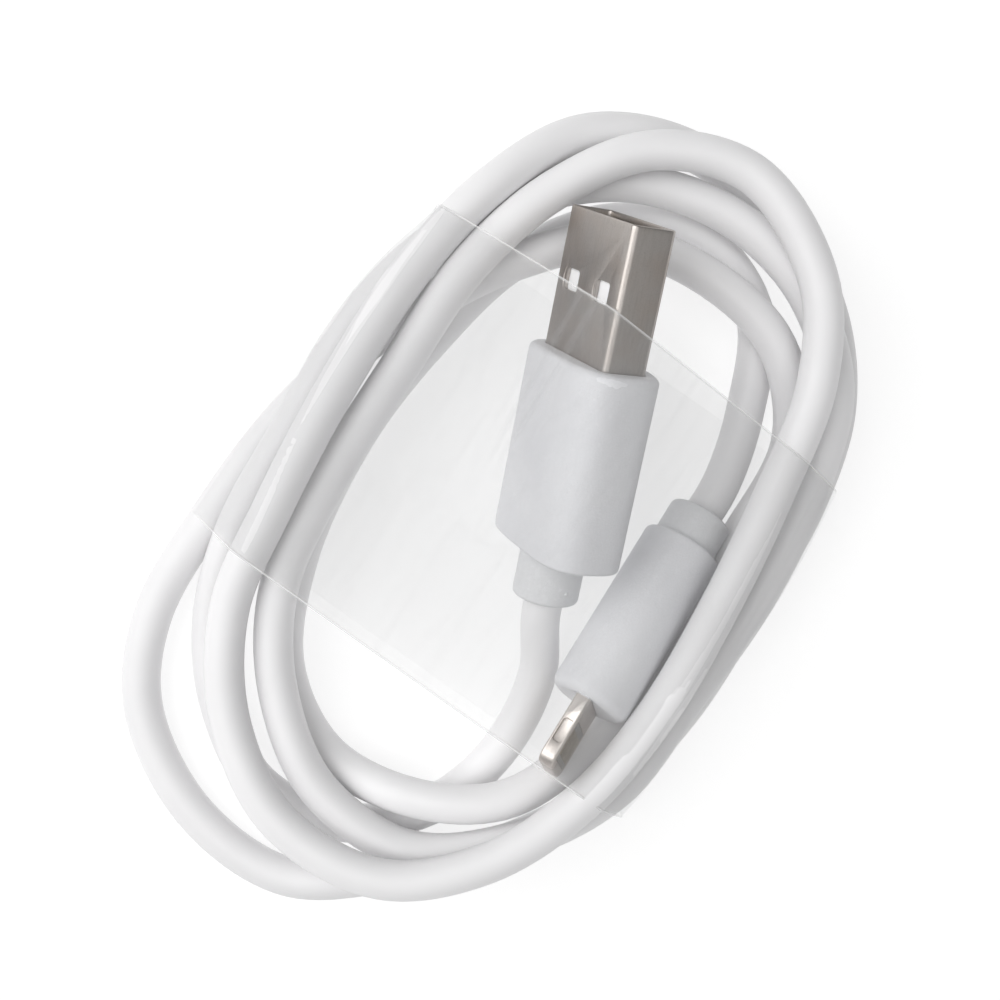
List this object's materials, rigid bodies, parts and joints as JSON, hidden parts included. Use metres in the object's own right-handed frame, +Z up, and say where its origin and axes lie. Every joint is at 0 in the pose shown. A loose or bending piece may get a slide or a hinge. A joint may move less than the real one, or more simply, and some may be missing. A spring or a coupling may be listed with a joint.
{
  "type": "charging cable",
  "caption": "White charging cable wound in a flat oval coil inside a clear film band, with a wide flat plug at one end and a small reversible plug at the other.",
  "frame": {"origin": "on the surface it lies on, under the middle of the coil's outer box", "axes": "+Z up, +X along the long axis of the oval coil, towards the end where the wide plug's mouth points"},
  "size_m": [0.0845, 0.054, 0.0219],
  "materials": {
    "jacket_white": "matt white thermoplastic elastomer, smooth",
    "grip_grey_white": "matt cool white, very fine grain",
    "inner_mould_white": "moulded, unseen",
    "nickel_steel": "nickel plated rolled sheet, satin",
    "tab_steel": "nickel plated, soft polish",
    "insulator_white": "smooth moulded",
    "contact_gold": "gold flash",
    "foil_braid": "foil and tinned braid",
    "solder": "bright solder",
    "wire_red": "wire insulation",
    "wire_black": "wire insulation",
    "wire_green": "wire insulation",
    "wire_white": "wire insulation",
    "board_green": "solder mask",
    "chip_black": "moulded chip body",
    "component_tan": "ceramic",
    "clear_film": "clear stretched film"
  },
  "bodies": {
    "root": {"cord_jacket": "jacket_white", "cord_shield": "foil_braid", "vbus_wire": "wire_red", "ground_wire": "wire_black", "data_plus_wire": "wire_green", "data_minus_wire": "wire_white", "usb_shell": "nickel_steel", "usb_insulator": "insulator_white", "usb_contact_vbus": "contact_gold", "usb_contact_data_minus": "contact_gold", "usb_contact_data_plus": "contact_gold", "usb_contact_ground": "contact_gold", "usb_wire_comb": "insulator_white", "usb_solder_joints": "solder", "usb_inner_mould": "inner_mould_white", "usb_overmould": "grip_grey_white", "usb_strain_relief": "grip_grey_white", "phone_tab_frame": "tab_steel", "phone_contact_insulator": "insulator_white", "phone_contacts_upper": "contact_gold", "phone_contacts_lower": "contact_gold", "phone_circuit_board": "board_green", "phone_control_chip": "chip_black", "phone_small_components": "component_tan", "phone_solder_joints": "solder", "phone_shield_upper": "nickel_steel", "phone_shield_lower": "nickel_steel", "phone_inner_mould": "inner_mould_white", "phone_overmould": "grip_grey_white", "phone_strain_relief": "grip_grey_white", "film_band": "clear_film"}
  },
  "joints": []
}
